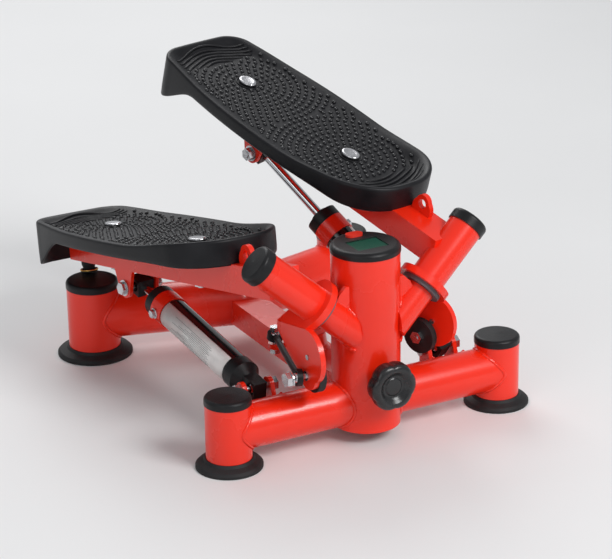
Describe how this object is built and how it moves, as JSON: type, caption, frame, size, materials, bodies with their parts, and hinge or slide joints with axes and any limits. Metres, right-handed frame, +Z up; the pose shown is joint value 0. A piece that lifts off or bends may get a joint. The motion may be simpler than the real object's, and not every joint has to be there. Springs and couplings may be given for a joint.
{
  "type": "stepper",
  "caption": "Swing stepper with red steel frame, twin treads on slanted pivots, hydraulic dampers, rocker linkage, resistance knob and post-top counter",
  "frame": {"origin": "on the floor, under the axis of the centre post", "axes": "+Z up, +X to the right along the front crossbar, +Y from the post towards the heels of the treads"},
  "size_m": [0.4358, 0.5051, 0.3475],
  "materials": {
    "frame_red": "gloss red powder coat",
    "tread_black": "black moulded plastic with fine studs",
    "black_plastic": "black moulded plastic",
    "rubber_black": "black rubber",
    "bolt_steel": "bright zinc plate",
    "damper_black": "gloss black enamel",
    "rod_chrome": "polished chrome",
    "bush_plastic": "dark grey nylon",
    "screen_green": "liquid crystal panel, dark green",
    "screen_window": "clear window",
    "button_red": "glossy red plastic"
  },
  "bodies": {
    "base": {"center_post": "frame_red", "front_crossbars": "frame_red", "rear_crossbar": "frame_red", "centre_beam": "frame_red", "foot_posts": "frame_red", "foot_post_caps": "black_plastic", "rubber_feet": "rubber_black", "pivot_bosses": "frame_red", "pivot_axles": "bolt_steel", "damper_lugs": "frame_red", "lug_bolts": "bolt_steel", "rocker_pedestal": "frame_red", "rocker_bolt": "bolt_steel", "console_housing": "black_plastic", "console_display": "screen_green", "console_window": "screen_window"},
    "arm_left": {"pivot_sleeve_left": "frame_red", "sleeve_bushes_left": "bush_plastic", "sleeve_cap_left": "black_plastic", "lever_plate_left": "frame_red", "lever_disc_left": "rubber_black", "lever_bolt_left": "bolt_steel", "pedal_arm_left": "frame_red", "ear_bracket_left": "frame_red", "band_loop_left": "frame_red", "stop_bumper_left": "rubber_black", "tread_left": "tread_black", "arm_bolts_left": "bolt_steel"},
    "arm_right": {"pivot_sleeve_right": "frame_red", "sleeve_bushes_right": "bush_plastic", "sleeve_cap_right": "black_plastic", "lever_plate_right": "frame_red", "lever_disc_right": "rubber_black", "lever_bolt_right": "bolt_steel", "pedal_arm_right": "frame_red", "ear_bracket_right": "frame_red", "band_loop_right": "frame_red", "stop_bumper_right": "rubber_black", "tread_right": "tread_black", "arm_bolts_right": "bolt_steel"},
    "rocker": {"rocker_bar": "frame_red", "rocker_bush": "bush_plastic", "rocker_ball_studs": "bolt_steel"},
    "damper_left": {"damper_foot_left": "black_plastic", "damper_tube_left": "damper_black", "damper_gland_left": "black_plastic", "damper_collar_left": "frame_red"},
    "damper_right": {"damper_foot_right": "black_plastic", "damper_tube_right": "damper_black", "damper_gland_right": "black_plastic", "damper_collar_right": "frame_red"},
    "rod_left": {"piston_rod_left": "rod_chrome", "rod_block_left": "black_plastic"},
    "rod_right": {"piston_rod_right": "rod_chrome", "rod_block_right": "black_plastic"},
    "tie_left": {"tie_rod_left": "black_plastic"},
    "tie_right": {"tie_rod_right": "black_plastic"},
    "knob": {"adjuster_knob": "black_plastic", "adjuster_screw": "bolt_steel"},
    "button": {"console_button": "button_red"}
  },
  "joints": [
    {"name": "step_left", "type": "hinge", "parent": "base", "child": "arm_left", "pos_m": [-0.0703, -0.0104, 0.1719], "axis": [0.7504, -0.1296, -0.6481], "range_deg": [0, 34.5]},
    {"name": "step_right", "type": "hinge", "parent": "base", "child": "arm_right", "pos_m": [0.0703, -0.0104, 0.1719], "axis": [-0.7504, -0.1296, -0.6481], "range_deg": [0, 34.5]},
    {"name": "rocker_swing", "type": "hinge", "parent": "base", "child": "rocker", "pos_m": [0, 0.1203, 0.094], "axis": [0, 0, -1], "range_deg": [0, 41]},
    {"name": "damper_tilt_left", "type": "hinge", "parent": "base", "child": "damper_left", "pos_m": [-0.1165, 0.04, 0.065], "axis": [0.7413, 0.1851, -0.6451], "range_deg": [0, 34.42]},
    {"name": "damper_tilt_right", "type": "hinge", "parent": "base", "child": "damper_right", "pos_m": [0.1165, 0.04, 0.065], "axis": [-0.7413, 0.1851, -0.6451], "range_deg": [0, 34.42]},
    {"name": "rod_slide_left", "type": "slide", "parent": "damper_left", "child": "rod_left", "axis": [-0.0946, 0.9804, 0.1727], "range_m": [0, 0.0704]},
    {"name": "rod_slide_right", "type": "slide", "parent": "damper_right", "child": "rod_right", "axis": [0.2976, -0.7708, -0.5632], "range_m": [0, 0.0704]},
    {"name": "tie_swing_left", "type": "hinge", "parent": "rocker", "child": "tie_left", "pos_m": [-0.06201, 0.09712, 0.094], "axis": [0.0289, -0.2537, 0.9669], "range_deg": [0, 46.11]},
    {"name": "tie_swing_right", "type": "hinge", "parent": "rocker", "child": "tie_right", "pos_m": [0.06201, 0.14348, 0.094], "axis": [0.1446, -0.2104, 0.9669], "range_deg": [0, 46.11]},
    {"name": "knob_turn", "type": "hinge", "parent": "base", "child": "knob", "pos_m": [0, -0.06, 0.078], "axis": [0, -1, 0], "continuous": true},
    {"name": "button_press", "type": "slide", "parent": "base", "child": "button", "axis": [0, 0, -1], "range_m": [0, 0.0015], "stiffness_N_per_m": 200, "springref_m": -0.002}
  ],
  "couplings": [
    {"joint": "step_right", "follows": "step_left", "ratio": 1},
    {"joint": "rocker_swing", "follows": "step_left", "ratio": 1.1884},
    {"joint": "damper_tilt_left", "follows": "step_left", "ratio": 0.99781},
    {"joint": "damper_tilt_right", "follows": "step_left", "ratio": 0.99781},
    {"joint": "rod_slide_left", "follows": "step_left", "m_per_rad": 0.11692},
    {"joint": "rod_slide_right", "follows": "step_left", "m_per_rad": 0.11692},
    {"joint": "tie_swing_left", "follows": "step_left", "ratio": 1.3365},
    {"joint": "tie_swing_right", "follows": "step_left", "ratio": 1.3365}
  ]
}
